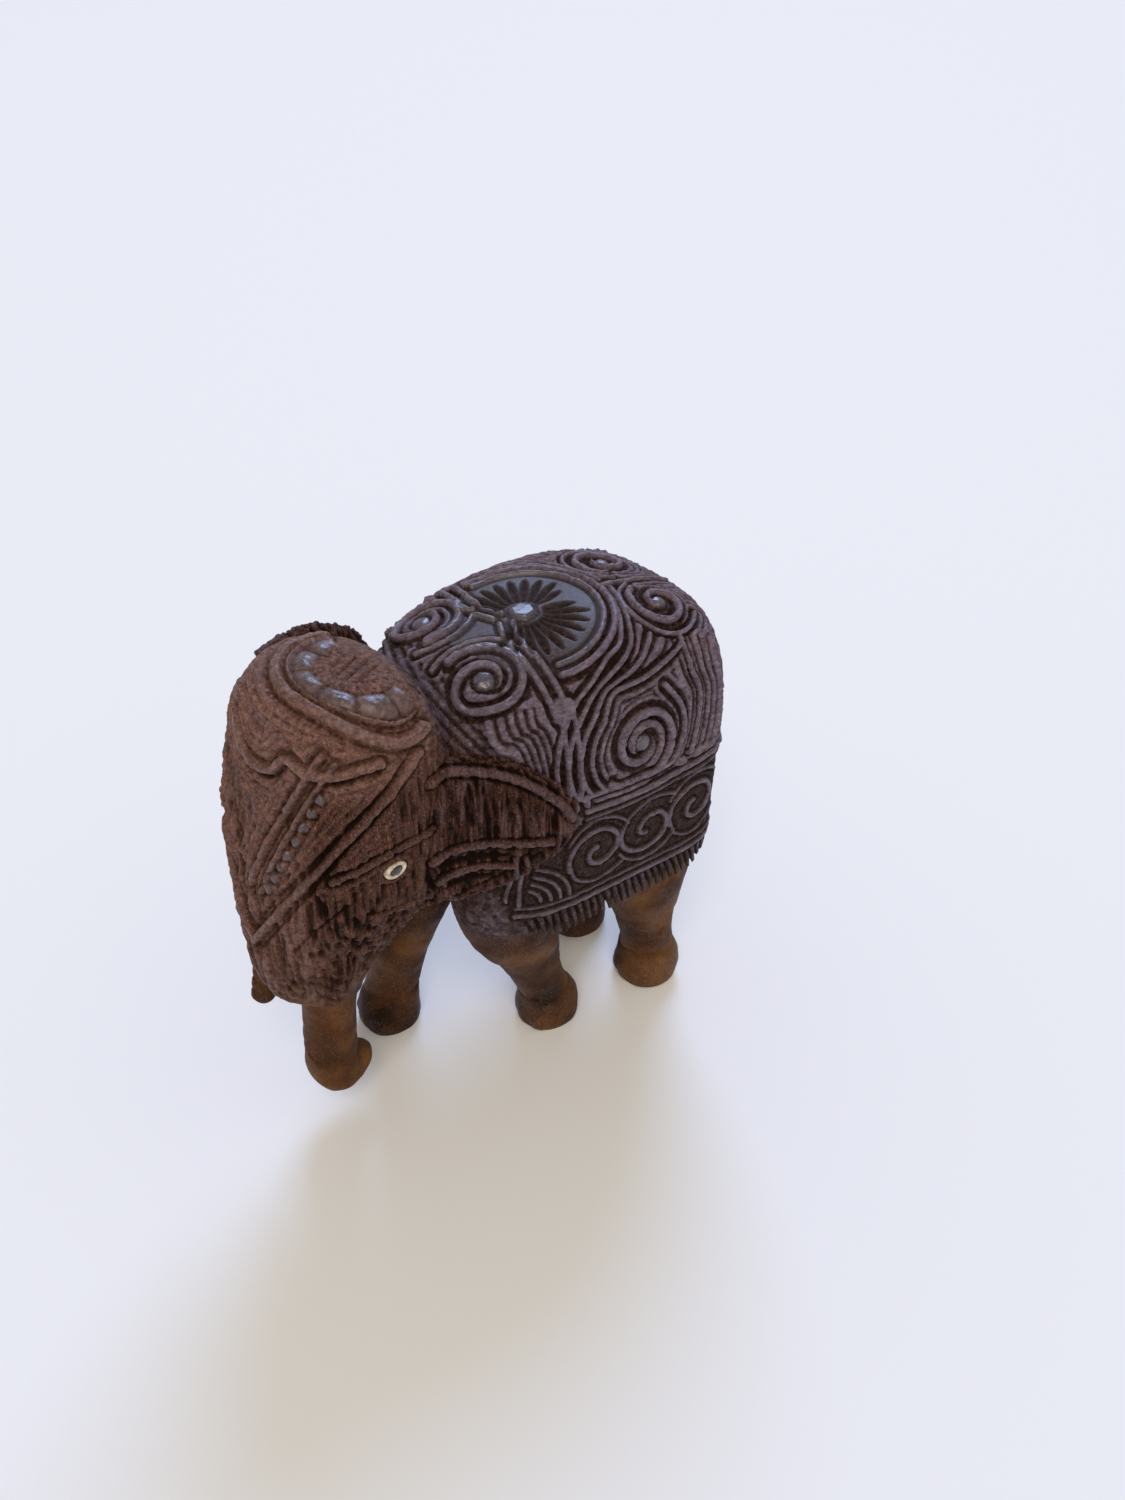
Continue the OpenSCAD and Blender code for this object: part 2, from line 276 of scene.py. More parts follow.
def ear(kind, w, pts):
    P = [on_ear(*p) for p in fine(pts, .5)]
    lay(kind, w, P); lay(kind, w, [None if p is None else np.array([-p[0], p[1]-14, p[2]*1.06+6.5]) for p in P])
def belt(w, z, a0, a1=82):                      # a level line round the barrel, to the tail
    for sx in (1, -1):
        P = []
        for a in np.arange(a0, a1, .7):
            d = Vector((sx*math.cos(math.radians(a)), math.sin(math.radians(a)), 0)); hh = cloth_bvh.ray_cast(Vector((0,20,z))+d*140, -d)
            P.append(np.array(hh[0]) if hh[0] is not None else None)
        lay("r", w, P)
def rear(kind, w, xz):                          # the rump, seen from behind, both sides
    f = fine(xz, .5)
    for sx in (1, -1):
        P = []
        for a, b in f:
            hh = cloth_bvh.ray_cast(Vector((sx*a, 150, b)), Vector((0,-1,0))); P.append(np.array(hh[0]) if hh[0] is not None else None)
        lay(kind, w, P)
def bump(kind, p, r):
    if p is None: return
    q = bvh.find_nearest(Vector(p), 3)
    if q[0] is not None: BUMPS.append((kind, np.array(q[0]), np.array(q[1]), r))
def coil(c, r0, r1, a0, a1, n=26, sq=1.0):      # spiral round c = (u, y), angle 0 toward +u
    return [(c[0]+(r0+(r1-r0)*i/n)*math.cos(math.radians(a0+(a1-a0)*i/n)), c[1]+sq*(r0+(r1-r0)*i/n)*math.sin(math.radians(a0+(a1-a0)*i/n))) for i in range(n+1)]

# medallion: boss, ring of gouged petals, double rim
BOSS = B(6.5, 3.5); bump("boss", sheet(*BOSS), 3.4)
for a in list(range(-52, 82, 14)) + list(range(102, 236, 14)):
    c, s = math.cos(math.radians(a)), math.sin(math.radians(a)); long = 16.5 if abs(((a+90) % 180)-90) < 70 else 13.5
    cloth("G", 2.3, [(BOSS[0]+5.6*c, BOSS[1]+5.6*s), (BOSS[0]+long*c, BOSS[1]+long*s)], mirror=False)
for r, w in ((20.4, 1.5), (23.2, 1.7)):
    cloth("r", w, [(BOSS[0]+r*math.cos(math.radians(a)), BOSS[1]+r*math.sin(math.radians(a))) for a in range(-6, 91, 8)])
# band from the medallion down to the ear tip
BAND = [B(8.5,-2.5), B(15,-4.6), B(24,-4), F(-2,125), F(-.5,112), F(1.5,96)]
cloth("r", 1.5, shift(BAND, 1.7)); cloth("r", 1.5, shift(BAND, -1.7))
# shoulder scroll
SH = B(22.5,-17)
cloth("r", 2.0, coil(SH, 11.4, 2.6, 200, -330, 46)); bump("seed", sheet(*SH), 2.6); bump("seed", sheet(2*MID-SH[0], SH[1]), 2.6)
cloth("g", .9, coil(SH, 9.6, 3.4, 190, -240, 34))
cloth("r", 1.3, coil(SH, 14.2, 13.6, 235, 95, 16))
# leaves from the shoulder scroll down beside the band
for i in range(5):
    cloth("g", 1.25, soft([(SH[0]+11.5-.5*i, -8.5-2.5*i), (SH[0]+16+.3*i, -9-2.4*i), F(-5.5-1.9*i, 112), F(-3.2-1.5*i, 98)]))
# plume from the spine round the big flank scroll
WH = F(19.5, 109)
def wheel(r, a): return (WH[0]-r*math.sin(math.radians(a)), WH[1]+r*math.cos(math.radians(a)))
cloth("r", 2.0, [wheel(r, a) for r, a in zip(np.linspace(13.0, 2.2, 44), np.linspace(225, 745, 44))])
cloth("g", .9, [wheel(r, a) for r, a in zip(np.linspace(11.2, 3.0, 36), np.linspace(235, 640, 36))])
bump("seed", sheet(*wheel(.4, 0)), 2.4); bump("seed", sheet(2*MID-wheel(.4,0)[0], wheel(.4,0)[1]), 2.4)
RU = B(19, 38)
for i in range(7):                              # three leaves pass the rump scroll, four leave its rim
    r = 25-1.7*i; q = 1.6*i
    if i < 3: start = [(MID+2, 27.6+.9*i), (MID+12, 24.6+.9*i), (MID+21.5+.3*i, 18.6+1.6*i)]
    else:
        t = math.radians(-72+24*(i-3)); start = [(RU[0]+12.4*math.cos(t), RU[1]+12.4*math.sin(t)), (RU[0]+15*math.cos(t+.2), RU[1]-3+13*math.sin(t))]
    cloth("r" if i in (0, 2, 4, 6) else "g", 1.3, soft(start + [(WH[0]-26+.9*q, WH[1]-5+.8*q), (WH[0]-20+.35*q, WH[1]-13.5+.6*q)]
          + [wheel(max(r, 15), a) for a in range(134, 214+16*min(i, 4), 14)]))
cloth("r", 1.4, soft([wheel(15.4, a) for a in range(240, 405, 12)] + [wheel(16.5, 420)]))
# rump scroll and the leaves behind it
RU = B(19, 38)
def curl(r, a): return (RU[0]-r*math.sin(math.radians(a)), RU[1]+r*math.cos(math.radians(a)))
cloth("r", 1.8, [curl(r, a) for r, a in zip(np.linspace(8.6, 2.0, 30), np.linspace(120, 590, 30))]); bump("seed", sheet(*RU), 2.1); bump("seed", sheet(2*MID-RU[0], RU[1]), 2.1)
cloth("r", 1.2, [curl(10.8, a) for a in range(110, 330, 12)])
for i in range(5):
    cloth("r" if i == 1 else "g", 1.25, soft([(RU[0]+10.5+.8*i, RU[1]-4+3.2*i), (RU[0]+22, RU[1]-2.5+2.7*i), (WH[0]-9, WH[1]+18.5+2.5*i), (WH[0]+5, WH[1]+17.5+2.6*i), (WH[0]+13, WH[1]+14.5+2.9*i)]))
cloth("r", 1.3, [(MID+.5, y) for y in (28, 36, 44, 51)], mirror=False)
# lower panel: divider, borders, corner fan, running scrolls
for z, w in ((94, 1.4), (91.4, 1.0), (67.2, 1.0), (64.5, 1.5)):
    belt(w, z, -26 if z > 80 else -51)
for y in (-18.2, -15.6): flank("r", 1.3, [(y, 64), (y, 76), (y, 90)])
for r in (3.6, 6.4, 9.2, 12): flank("r", 1.2, [(-14+r*math.cos(math.radians(a)), 68+r*math.sin(math.radians(a))) for a in range(2, 90, 11)])
for k, y in enumerate((7, 24, 41)):
    s = 1 if k % 2 == 0 else -1
    sp = [(y+r*1.15*math.cos(math.radians(a)), 79.5+s*r*math.sin(math.radians(a))) for r, a in zip(np.linspace(8.6, 1.6, 26), np.linspace(200, -250, 26))]
    flank("r", 1.5, sp); flank("r", 1.1, [(y+11*math.cos(math.radians(a)), 79.5+s*10.4*math.sin(math.radians(a))) for a in range(150, 20, -10)])
    flank("r", 1.1, [(y-9, 79.5-s*2), (y-7, 79.5-s*7), (y, 79.5-s*10), (y+9, 79.5-s*7.5)])
# head: ring round the crown, garland inside it, scallops under it
def crown(t, k=0.0):
    c, s = math.cos(math.radians(t)), math.sin(math.radians(t)); x = 6.5+(19+k)*c
    return (x, -46+(15.6+k)*s, 143-9*max(0, (x-6.5)/19)**2)
head("r", 2.5, [crown(t, 1.6) for t in range(-200, 22, 9)], False); head("r", 1.7, [crown(t, -2.0) for t in range(-200, 18, 9)], False)
for a in ([(-13,-68,133),(-9,-72,128),(-2,-73,125.5),(5,-73,127),(9,-71,131)], [(11,-70,131),(15,-68,127.5),(21,-64,127.5),(26,-55,129)]):
    head("r", 1.9, a, False); head("g", .8, [(x, y, z-2.3) for x, y, z in a], False)
# forehead straps, nested V
for pts in ([(17,-64,131),(13.5,-69,123),(8.5,-72,113),(3,-74,102),(-1,-76,92)],):
    head("r", 1.5, pts, False); head("r", 1.3, [(x+4.2, y, z) for x, y, z in pts], False)
BS = [(26,-45,127),(25.5,-54,120),(21,-66,109),(13.5,-72,97),(6,-76,85),(0,-79,76)]
head("r", 1.7, BS); head("g", .9, [(x+2.6, y, z-.5) for x, y, z in BS]); head("g", .8, [(x-2.4, y, z+.8) for x, y, z in BS[:-1]])
for i in range(8):
    t = i/7; bump("bead", on_head((18-13*t, -67-8*t, 121-27*t)), 1.3)
# brow, cheek and mouth lines
head("r", 1.4, [(20,-68,100.5),(27,-60,103.8),(28,-52,104.6),(28,-43,104.5)])
head("g", .9, [(27,-46,96),(26,-42,90),(24,-40,84)]); head("g", .8, [(24,-62,88),(26,-52,86),(25,-44,84)]); head("g", .9, [(20,-66,78),(22,-58,76),(21,-50,76)])
head("g", .8, [(22,-66,93),(17,-72,86),(12,-76,78)])
# ears: rim, folded lobe
ear("r", 2.0, [(2,117.5),(10,118),(18,116.5),(26,113),(34,107),(38,101.5)])
ear("r", 1.6, [(3,94),(10,96.5),(18,96.5),(27,95),(33,95)]); ear("G", 2.6, [(5,92),(13,93.2),(22,92)])
ear("r", 1.4, [(4,86.5),(10,89.5),(17,89.6),(23,88)]); ear("G", 2.2, [(6,84.5),(12,86.6),(18,86)])
ear("g", 1.0, [(9,80),(15,83.5),(22,86),(30,91)])
# rump: borders either side of the tail, scrolls
for cz, r0, ss in ((111, 8.6, 1), (79.5, 7.6, -1)):
    rear("r", 1.7, [(15.5+r*math.cos(math.radians(a)), cz+ss*r*math.sin(math.radians(a))) for r, a in zip(np.linspace(r0, 1.8, 30), np.linspace(200, -290, 30))])
rear("r", 1.3, [(15.5+11*math.cos(math.radians(a)), 111+11*math.sin(math.radians(a))) for a in range(190, 20, -10)])
for i in range(3): rear("g", 1.2, [(5.2+.5*i, 124-3*i), (4.8+1.2*i, 112), (5.4+2.2*i, 101), (8+3.2*i, 97.5)])
# trunk: one drying crack; the ankle crease is cut further down, with the toes
crack = [turn((-7.5,-66,33)), turn((-3,-71,30.5)), turn((1,-71.5,27.5)), turn((4,-71,25.5))]
lay("g", .95, list(fine([c[0] for c in crack], .4)))

def near(kind, reach):
    s = S[kind]; kd = KDTree(len(s))
    for i, a in enumerate(s): kd.insert(Vector(a[0]), i)
    kd.balance()
    SN = np.array([a[1] for a in s]); SW = np.array([a[2] for a in s]); ST = np.array([a[3] for a in s])
    D = np.full(NV, 99.); J = np.zeros(NV, dtype=int); find = kd.find
    for i in range(NV):
        _, j, d = find(V[i])
        if d < reach: D[i] = d; J[i] = j
    D = np.where(np.einsum("ij,ij->i", SN[J], N) > .15, D, 99.)
    return D, SW[J], ST[J]
Dg, Wg, Tg = near("g", 4); DG, WG, TG = near("G", 5); Dr, Wr, Tr = near("r", 14)

x, y, z = V.T
VH = unturn(V); hx, hy = VH[:,0], VH[:,1]
cd = np.empty(NV); 
for i in range(NV):
    q = cloth_bvh.find_nearest(Vector(V[i])); cd[i] = q[3]
on_cloth = sm(1.3, .6, cd)*sm(-30, -26, y)*sm(56.2, 57.2, z)
ed = np.empty(NV)
for i in range(NV):
    ed[i] = ear_bvh.find_nearest(Vector(V[i]))[3]
xm = V.copy(); xm[:,0] *= -1; xm[:,1] += 14; xm[:,2] = (xm[:,2]-6.5)/1.06
ed2 = np.array([ear_bvh.find_nearest(Vector(p))[3] for p in xm])
ear_m = sm(1.1, .5, np.minimum(ed, ed2))*sm(-47, -42, np.where(x > 0, y, y+14))
low = sm(60, 52, z); trunk_m = low*sm(-48, -54, y); leg_m = low*(1-trunk_m)
head_m = np.clip((1-on_cloth)*(1-ear_m)*sm(50, 60, z)*sm(-24, -30, y), 0, 1)
on_cloth = on_cloth*(1-ear_m)

h = np.zeros(NV)
# coarse field left by a flat gouge, lower than the lines
mb = np.hypot(x-BOSS[0]-0*x, y-BOSS[1]); disc = sm(20.5, 19.5, mb)*sm(125, 128, z)*on_cloth
upper = on_cloth*(1-disc)*sm(89, 93, z)
field = np.clip(upper + on_cloth*sm(91.5, 89.5, z)*sm(62, 64, z)*.6, 0, 1)
h -= .34*field*sm(.3, 1.6, Dr/Wr)
# parallel flow cuts that follow the lines
per = 1.9; ph = (Dr-1.35*Wr)/per
flow = np.where((ph > 0) & (Dr < 13), np.clip(.5-.5*np.cos(2*math.pi*ph), 0, 1)**.55, 0)
h += .85*flow*upper*sm(1.0, 2.0, Dg)
h += .80*flow*head_m*sm(92, 100, z)*sm(8.5, 7, Dr)*sm(-46, -50, y)
rr = np.clip(1-(Dr/(Wr*.54))**2, 0, 1)
h += .85*upper*sm(3.0, 1.9, Dg)*sm(.8, 1.5, Dr/Wr)      # the leaves between grooves stand up
strength = np.where(head_m > .5, 1.0, np.where((z < 93)&(on_cloth > .5), .42, 1.0))*np.clip(Wr/1.5, .8, 1.35)
nick = 1+.22*vnoise(V*.8, 21)+.22*vnoise(V*.25, 22)
h += strength*np.clip(nick, .45, 1.3)*np.sqrt(np.clip(1.7*rr, 0, 1))
h -= .80*np.exp(-((Dr-Wr*.86)/.33)**2)
edge = 1-rr
wg = WG*.5*(.3+.7*np.sin(math.pi*np.clip(TG*.9+.08, .03, .97)))
cut = np.clip(1-DG/np.maximum(wg*1.25, .3), 0, 1); h -= 1.5*cut**.8
h -= .85*np.exp(-(Dg/(.44*Wg))**2)*edge
h += .12*np.exp(-((Dg-1.2*Wg)/.4)**2)*edge
# polish mask: polished places, which get real extra specular and smoothness, and a bluish painted reflection in their
# colour
polish_and_sheen = disc*(.55+.40*vnoise(V*.09, 23))*(1-cut) + rr*.30*(1+.8*vnoise(V*.11, 24))
# crown: a polished band of overlapping lobes inside the ring, a row of pointed leaves behind it
tq = np.degrees(np.arctan2((hy+46)/15.6, (hx-6.5)/19)); rho = np.hypot((hx-6.5)/19, (hy+46)/15.6)
on_top = head_m*sm(124, 128, z)*sm(-205, -195, np.where(tq > 60, tq-360, tq))*sm(25, 15, np.where(tq > 60, tq-360, tq))
tw = np.where(tq > 60, tq-360, tq)
lob = ((tw+168)/42) % 1.0
prof = np.sqrt(np.clip(1-((rho-.70)/.155)**2, 0, 1)); lobe = prof*np.clip(1-np.abs(2*lob-1)**3, 0, 1)**.5*(.70+.30*lob)
h = np.where(on_top > .5, np.where(np.abs(rho-.70) < .16, 1.95*lobe-.75, h), h)
polish_and_sheen = np.maximum(polish_and_sheen, on_top*lobe)
lf = ((tw/13)+(.56-rho)*2.4) % 1.0; leafz = on_top*sm(.30, .34, rho)*sm(.545, .52, rho)
h = np.where(leafz > .5, .75*(lf**.8)*sm(.30, .42, rho)-.25-.35*np.exp(-((lf-.5)/.07)**2), h)
back_lines = np.clip(head_m*sm(126, 130, z)*(1-sm(.27, .33, rho)), 0, 1)
h -= .6*back_lines*np.clip(np.cos(2*math.pi*(hx*.8+hy*.35)/2.6)*1.5-.4, 0, 1)
# long leaves over the neck, from the head to the blanket
nz = sm(-37, -35, y)*sm(-17.5, -20.0, y-.25*np.clip(z-104,-12,0))*sm(90, 95, z)*sm(2.4, 3.6, np.minimum(Dr, Dg))*(1-ear_m)*(1-head_m*sm(-31, -33, y))*(1-rr)
nph = (.80*y+.52*(z-112)+.14*x+1.2*np.sin(x*.11))/2.3
h = h*(1-.8*nz) + nz*(.75*np.abs(np.cos(math.pi*nph))**.7-.55)
# tail, in low relief on the rump
tx = np.abs(x-.8*np.sin((z-70)*.06)); tl = sm(52, 55, y)*sm(66, 68, z)*sm(121, 117, z); tw_ = np.where(z > 82, 2.0+.02*(z-82), 3.3*np.sqrt(np.clip(1-((z-75.5)/9.5)**2, .05, 1)))
tt = np.clip(1-(tx/tw_)**2, 0, 1)
h = np.where((tl > .3) & (tx < tw_+1.2), np.where(tx < tw_, 1.25*np.sqrt(tt)-.1-.35*(z < 82)*np.clip(np.cos(2*math.pi*(x*.75+.12*z)), 0, 1), -.6), h)
for kind, c, n, r in BUMPS:
    d = V-c; t = d-np.outer(d@n, n); q = np.linalg.norm(t, axis=1)/r; ok = (N@n > .2) & (np.linalg.norm(d, axis=1) < r*1.9)
    top = {"boss": 1.25, "seed": .95, "lobe": 1.75, "bead": .6}[kind]
    if kind == "boss":
        ang = np.arctan2(t[:,1], t[:,0]); q = q*np.cos(((ang+.3) % (math.pi/3))-math.pi/6)*1.04; dome = top*np.clip((1-q)*5, 0, 1)
    else: dome = top*np.sqrt(np.clip(1-q*q, 0, 1))
    h = np.where(ok & (q < 1), np.maximum(dome-.15, np.minimum(h, 0)), np.where(ok & (q < 1.3), np.minimum(h, -.45), h))
    polish_and_sheen = np.where(ok & (q < 1), np.maximum(polish_and_sheen, .95), polish_and_sheen)
# fringe teeth under the hem, cut slantwise
side = sm(30, 32, np.abs(x)); back = sm(52.5, 54.5, y)
along = np.where(side > back, y, x)
teeth = np.clip(np.cos(2*math.pi*(along+.36*(z-57)+.5*vnoise(V*.22, 3))/2.4)*1.9-.35, 0, 1)
fr = np.maximum(side, back)*sm(-22, -20, y)*(1-ear_m)
h = h*(1-fr*sm(56.0, 56.8, z)*sm(63.6, 62.9, z)) - 1.35*teeth*fr*sm(56.0, 56.8, z)*sm(63.6, 62.6, z)
drop = 2.4*(1-teeth)*np.maximum(sm(31.5, 33, np.abs(x)), sm(52.8, 54.2, y))*sm(-22, -20, y)*sm(60.5, 57.5, z)*sm(56.0, 56.6, z)
# cross ridges on the tusk sheaths
sheath = np.maximum(np.exp(-(((hx-13)/5.5)**2+((hy+68.5)/6)**2+((z-63)/6.5)**2)*1.2), np.exp(-(((hx+12)/5.5)**2+((hy+74)/6)**2+((z-53)/8)**2)*1.2))
h -= .75*sheath*np.clip(np.cos(2*math.pi*(z*.95+hy*.45+hx*.2)/3.1)*1.3-.1, 0, 1)
# tool marks: upright strokes on cheek and ear, stipple between the lines, knife facets below
marks = np.clip(head_m*sm(128, 118, z) + ear_m, 0, 1)
st = vnoise(np.c_[hx*1.10+hy*.1, hy*1.10, z*.13], 11); st2 = vnoise(np.c_[hx*1.9, hy*1.9, z*.26], 12)
deep = np.where(ear_m > .4, 1.15, np.where(z > 108, .62, 1.0))
h += (.66*st-.70*np.clip(st2-.06, 0, 1))*marks*deep*(1-.85*rr)*sm(47, 62, z)
gash = vnoise(np.c_[hx*.42+z*.20, hy*.60, z*.12-hx*.1], 13); gashes = np.clip(gash-.30, 0, 1)*marks*deep; h -= 1.5*gashes
h += .17*vnoise(V*1.3, 5)*edge*(1-low)*(1-.8*disc) + .14*vnoise(V*.55, 6)*(1-low)*(1-.8*disc)
h += .50*vnoise(V*.12, 7)*low + .22*vnoise(V*.34, 8)*low
h += .35*vnoise(V*.05, 9)
for fx, fy in ((12,6), (-15,-35), (16,43), (-16,38)):       # ankle crease and three blunt toes
    r2 = np.hypot(x-fx, y-fy); m = sm(16, 13, r2)*sm(24, 18, z)
    h -= .45*m*np.exp(-((z-13.5-.8*np.sin((x-fx)*.35))/.9)**2)
    a = np.degrees(np.arctan2(x-fx, -(y-fy)))
    for t in (-38, 0, 38): h += .55*m*np.exp(-((a-t)/13)**4)*np.exp(-((z-4)/3.2)**4)
# eye beds under the brow
for sx in (1, -1):
    d = VH-np.array([sx*EYE[0], EYE[1], EYE[2]]); e = np.sqrt((d[:,1]/3.15)**2+(d[:,2]/2.15)**2); close = np.abs(d[:,0]) < 6
    h = np.where(close & (e < 2.4), h*sm(1.2, 2.3, e), h)
    h = np.where(close, h-.75*sm(1.12, .96, e)+.5*np.exp(-((e-1.38)/.2)**2)-.35*np.exp(-((e-1.75)/.2)**2), h)
h *= sm(.2, 1.2, z)
h = np.clip(h, -2.0, 2.0)
h = h + .15*lap(h[:,None])[:,0]
Vd = V + N*h[:,None]
Vd[:,2] -= drop
Vd[:,2] = np.maximum(Vd[:,2], 0); Vd[:,2] = np.where(V[:,2] < .45, 0, Vd[:,2])
Vd[:,1] += SHIFT_Y
setco(me2, Vd*.001)

def attr(name, a):
    at = me2.attributes.new(name, "FLOAT", "POINT"); at.data.foreach_set("value", a.astype(np.float32))
# cavity: how deep each place sits in the relief; the material darkens deep places with it as painted shade, and also
# uses it for roughness and dust specks
hs = h - .35*vnoise(V*.05, 9)
attr("cavity", np.clip(.42-hs*.6, 0, 1)); attr("polish_and_sheen", np.clip(polish_and_sheen, 0, 1)*(1-low)); attr("plain", low)
front = sm(-58, -67, hy)*sm(20, 13, hx)
attr("cheek", np.clip(marks, 0, 1)*sm(50, 66, z)*(1-.75*front)); attr("head", head_m*sm(-31, -38, y)); attr("cloth", on_cloth)
attr("dark", np.clip(sm(94, 90, z)*on_cloth*.6 + leg_m*sm(10, -20, y-x*.6)*.0 + sheath*.8, 0, 1))
for p in me2.polygons: p.use_smooth = True
body = bpy.data.objects.new("elephant_carving", me2); bpy.context.scene.collection.objects.link(body)
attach(body, "root"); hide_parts("carved_body")

# ---------------------------------------------------------------- eyes
def eye_parts(sx):
    side = "left" if sx > 0 else "right"
    lo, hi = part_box(side+"_pupil"); want = np.array([(lo[i]+hi[i])*500 for i in range(3)])
    def lathe(name, prof, n=72):
        vs, fs = [], []
        for r, u in prof:
            for i in range(n):
                a = 2*math.pi*i/n
                vs.append((EYE[0]+u, EYE[1]+r*math.cos(a), EYE[2]+r*math.sin(a)*.68))
        for j in range(len(prof)-1):
            fs += [(j*n+i, j*n+(i+1)%n, (j+1)*n+(i+1)%n, (j+1)*n+i) for i in range(n)]
        vs += [(EYE[0]+prof[-1][1], EYE[1], EYE[2]), (EYE[0]+prof[0][1], EYE[1], EYE[2])]; k = len(vs)-2; j = (len(prof)-1)*n
        fs += [(j+i, j+(i+1)%n, k) for i in range(n)] + [((i+1)%n, i, k+1) for i in range(n)]
        v = np.array(vs); at = np.array([[EYE[0]-.125, EYE[1], EYE[2]]])
        if sx < 0: v[:,0] *= -1; at[:,0] *= -1
        v = turn(v) + (want - turn(at)[0])           # the CAD pupil's box gives the place
        m = bpy.data.meshes.new(name); m.from_pydata((v*.001).tolist(), [], fs); m.update(); outward(m)
        for p in m.polygons: p.use_smooth = True
        o = bpy.data.objects.new(name, m); bpy.context.scene.collection.objects.link(o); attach(o, "root"); return o
    ring = lathe(side+"_eye_bone", [(3.05,-1.9),(3.08,-.1),(3.02,.2),(2.8,.42),(2.4,.52),(2.05,.46),(1.86,.28),(1.84,-.9)])
    pup = lathe(side+"_eye_horn", [(1.78,-.95),(1.78,.12),(1.7,.34),(1.35,.55),(.8,.67),(.3,.71)])
    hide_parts(side+"_eye_ring")
    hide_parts(side+"_pupil")
    return ring, pup
eyes = [eye_parts(1), eye_parts(-1)]

# ---------------------------------------------------------------- materials
def new_mat(name):
    m = bpy.data.materials.new(name); m.use_nodes = True; nt = m.node_tree
    return m, nt, nt.nodes["Principled BSDF"]
def node(nt, kind, **kw):
    n = nt.nodes.new(kind)
    for k, v in kw.items():
        if k in n.inputs.keys(): n.inputs[k].default_value = v
        else: setattr(n, k, v)
    return n
def ramp(nt, src, stops):
    r = nt.nodes.new("ShaderNodeValToRGB"); e = r.color_ramp.elements
    while len(e) > 1: e.remove(e[-1])
    e[0].position = stops[0][0]; e[0].color = (*stops[0][1], 1)
    for p, c in stops[1:]:
        q = e.new(p); q.color = (*c, 1)
    nt.links.new(src, r.inputs[0]); return r.outputs[0]
def mix(nt, fac, a, b, mode="MIX"):
    m = nt.nodes.new("ShaderNodeMix"); m.data_type = "RGBA"; m.blend_type = mode
    for s, v in ((m.inputs[0], fac), (m.inputs[6], a), (m.inputs[7], b)):
        if hasattr(v, "is_linked"): nt.links.new(v, s)
        elif isinstance(v, tuple): s.default_value = (*v, 1)
        else: s.default_value = v
    return m.outputs[2]
def math_(nt, op, a, b=0.0):
    m = nt.nodes.new("ShaderNodeMath"); m.operation = op
    for s, v in ((m.inputs[0], a), (m.inputs[1], b)):
        if hasattr(v, "is_linked"): nt.links.new(v, s)
        else: s.default_value = v
    return m.outputs[0]
def fattr(nt, name):
    a = nt.nodes.new("ShaderNodeAttribute"); a.attribute_name = name; return a.outputs["Fac"]

wood, nt, bs = new_mat("carved_rosewood")
tc = nt.nodes.new("ShaderNodeTexCoord").outputs["Object"]
def mapped(sx, sy, sz):
    m = node(nt, "ShaderNodeMapping"); m.inputs["Scale"].default_value = (sx*1000, sy*1000, sz*1000); nt.links.new(tc, m.inputs["Vector"]); return m.outputs[0]
def noise(vec, scale, detail=4, rough=.6):
    n = node(nt, "ShaderNodeTexNoise", Scale=scale, Detail=detail, Roughness=rough); nt.links.new(vec, n.inputs["Vector"]); return n.outputs["Fac"]
mm = mapped(1, 1, 1)
grain = noise(mapped(1, .35, 1), .9, 6, .65)          # grain runs along the back
streak = noise(mapped(1, 1, .09), 1.9, 4, .65)        # upright torn fibres of the tool marks
cloud = noise(mm, .06, 4, .55)
speck = noise(mm, 2.2, 5, .75)
dustn = noise(mm, .7, 5, .7)
cav, pol_and_sheen, plain, cheek, headm, dark = (fattr(nt, k) for k in ("cavity", "polish_and_sheen", "plain", "cheek", "head", "dark"))
high = ramp(nt, grain, [(.30, (.056,.038,.048)), (.5, (.150,.110,.148)), (.70, (.275,.210,.262))])
recess_shade_and_dust = ramp(nt, dustn, [(.30, (.006,.003,.002)), (.5, (.024,.011,.008)), (.70, (.085,.046,.036))])
red = ramp(nt, streak, [(.34, (.004,.0015,.001)), (.46, (.036,.011,.005)), (.58, (.098,.030,.012)), (.74, (.190,.075,.038))])
olive = ramp(nt, cloud, [(.34, (.020,.007,.002)), (.5, (.085,.032,.009)), (.66, (.150,.066,.020))])
worn = ramp(nt, dustn, [(.30, (.034,.012,.007)), (.5, (.185,.082,.052)), (.70, (.340,.190,.132))])
# grooves take the near-black recess colour: painted shade in the carving's hollows, flecked with brown dust; raised
# places keep the lighter ridge colour
c1 = mix(nt, ramp(nt, cav, [(.16, (0,0,0)), (.50, (1,1,1))]), high, recess_shade_and_dust)
c1 = mix(nt, math_(nt, "MULTIPLY", headm, math_(nt, "SUBTRACT", .95, math_(nt, "MULTIPLY", cav, .75))), c1, worn)
# polished places turn cool blue-grey: a painted reflection of the blue window light, over the polish itself
c1 = mix(nt, math_(nt, "MULTIPLY", pol_and_sheen, .75), c1, ramp(nt, grain, [(.3, (.026,.022,.031)), (.7, (.072,.062,.082))]))
c2 = mix(nt, math_(nt, "MULTIPLY", cheek, .8), c1, red)
